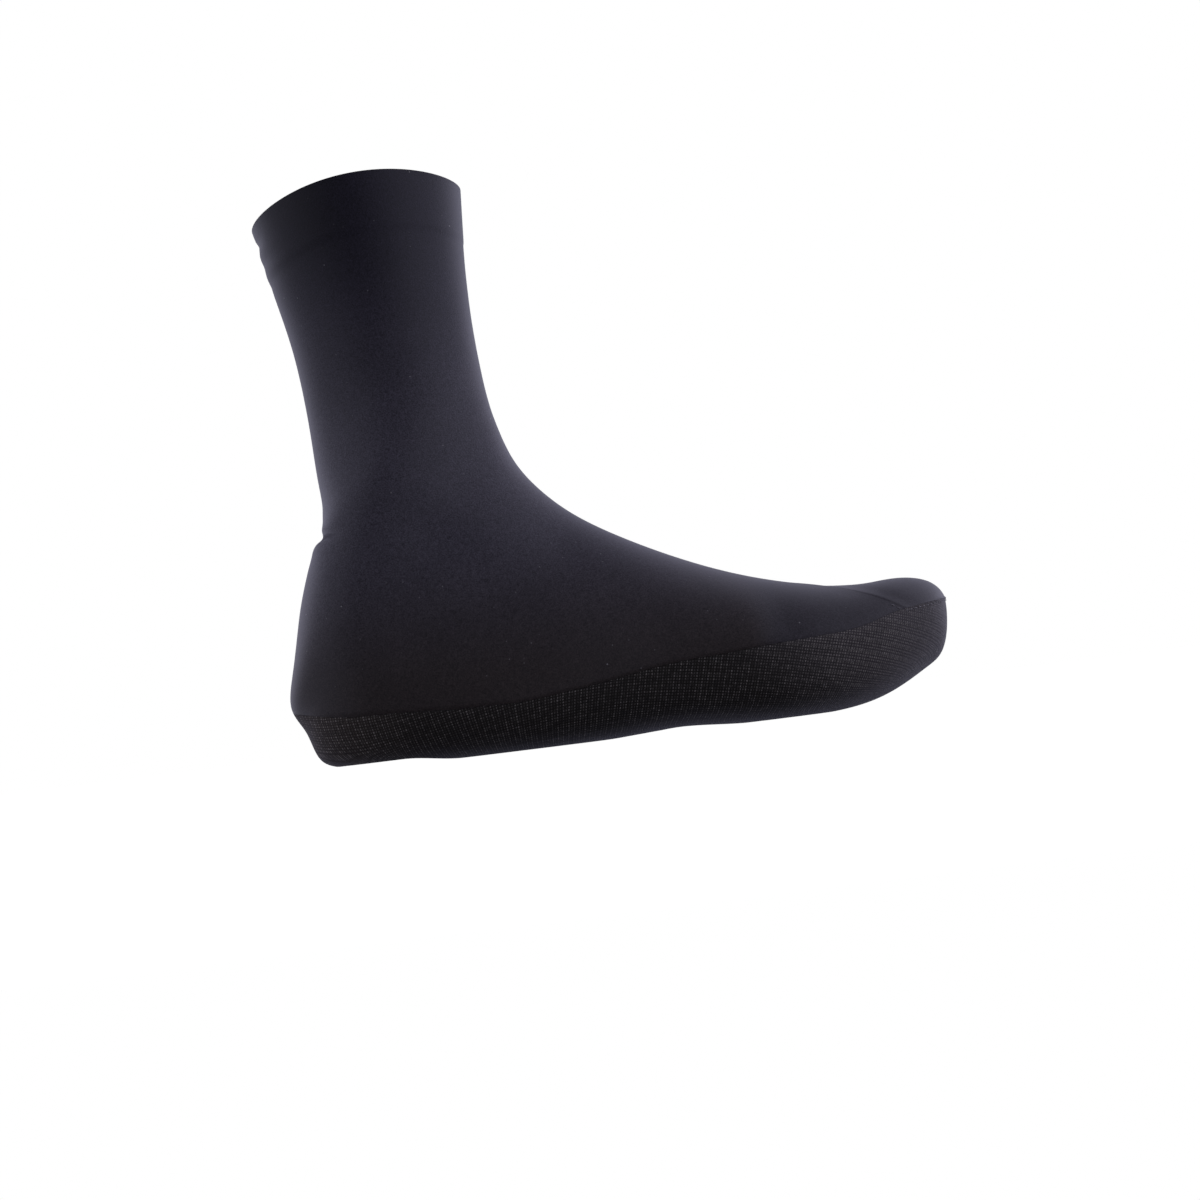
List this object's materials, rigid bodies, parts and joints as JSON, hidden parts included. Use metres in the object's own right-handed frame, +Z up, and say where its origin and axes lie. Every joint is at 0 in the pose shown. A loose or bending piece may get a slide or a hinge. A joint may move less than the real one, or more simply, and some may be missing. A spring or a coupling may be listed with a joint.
{
  "type": "cycling overshoe",
  "caption": "Black stretch-fabric overshoe for the right foot, worn over a cycling shoe, with a tall shaft, V-shaped toe panel, raised back seam and dotted sole wrap open at cleat and heel.",
  "frame": {"origin": "on the floor under the middle of the overshoe's length and width", "axes": "+X from the heel to the toe, +Y to the inner side of the foot, +Z up the shaft"},
  "size_m": [0.285, 0.104, 0.2473],
  "materials": {
    "upper": "smooth black stretch knit with a soft sheen",
    "toe_panel": "smooth black stretch knit with a soft sheen",
    "sole": "matte black hard-wearing weave with small grey dots",
    "cuff_band": "satin black gripper band"
  },
  "bodies": {
    "root": {"upper": "upper", "toe_panel": "toe_panel", "sole": "sole", "cuff_band": "cuff_band"}
  },
  "joints": []
}
